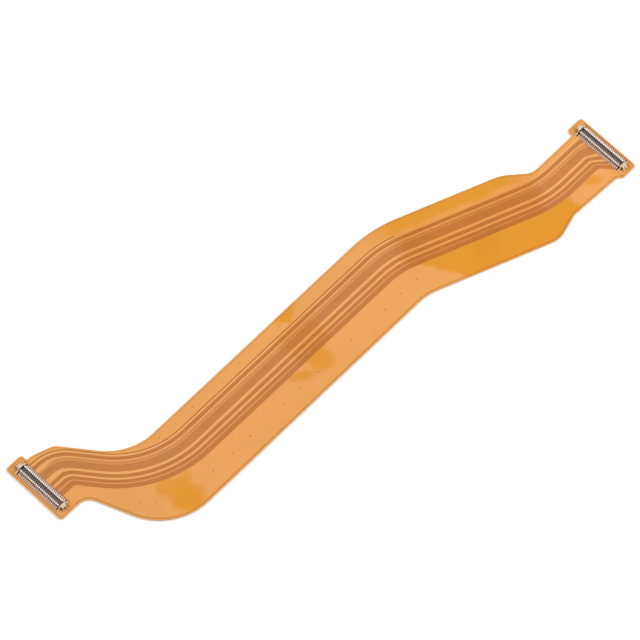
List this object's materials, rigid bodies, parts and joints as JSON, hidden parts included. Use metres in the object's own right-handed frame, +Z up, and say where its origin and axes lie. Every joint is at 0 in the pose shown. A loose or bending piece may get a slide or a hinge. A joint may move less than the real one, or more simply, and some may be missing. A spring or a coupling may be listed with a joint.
{
  "type": "flat flex cable",
  "caption": "Flat amber flexible circuit cable with a narrow bend in its run and a low board-to-board plug at each end.",
  "frame": {"origin": "middle of the cable's rectangle, on the surface it lies on", "axes": "+X along the straight main run from plug A to plug B, +Z up, out of the face that carries the plugs"},
  "size_m": [0.1098, 0.0356, 0.001],
  "materials": {
    "stiffener": "satin",
    "film": "gloss",
    "copper": "satin",
    "lands": "satin",
    "housing": "matte",
    "contacts": "polished",
    "hold_downs": "satin"
  },
  "bodies": {
    "root": {"stiffener_a": "stiffener", "stiffener_b": "stiffener", "base_film": "film", "cover_film": "film", "power_track_1": "copper", "power_track_2": "copper", "power_track_3": "copper", "power_track_4": "copper", "power_track_5": "copper", "signal_tracks_1": "copper", "signal_tracks_2": "copper", "signal_tracks_3": "copper", "signal_tracks_4": "copper", "signal_tracks_5": "copper", "signal_tracks_6": "copper", "ground_copper_upper": "copper", "ground_copper_lower": "copper", "lands_a": "lands", "lands_b": "lands", "housing_a": "housing", "housing_b": "housing", "contacts_a_inner": "contacts", "contacts_a_outer": "contacts", "contacts_b_inner": "contacts", "contacts_b_outer": "contacts", "hold_down_a_upper": "hold_downs", "hold_down_a_lower": "hold_downs", "hold_down_b_upper": "hold_downs", "hold_down_b_lower": "hold_downs"}
  },
  "joints": []
}
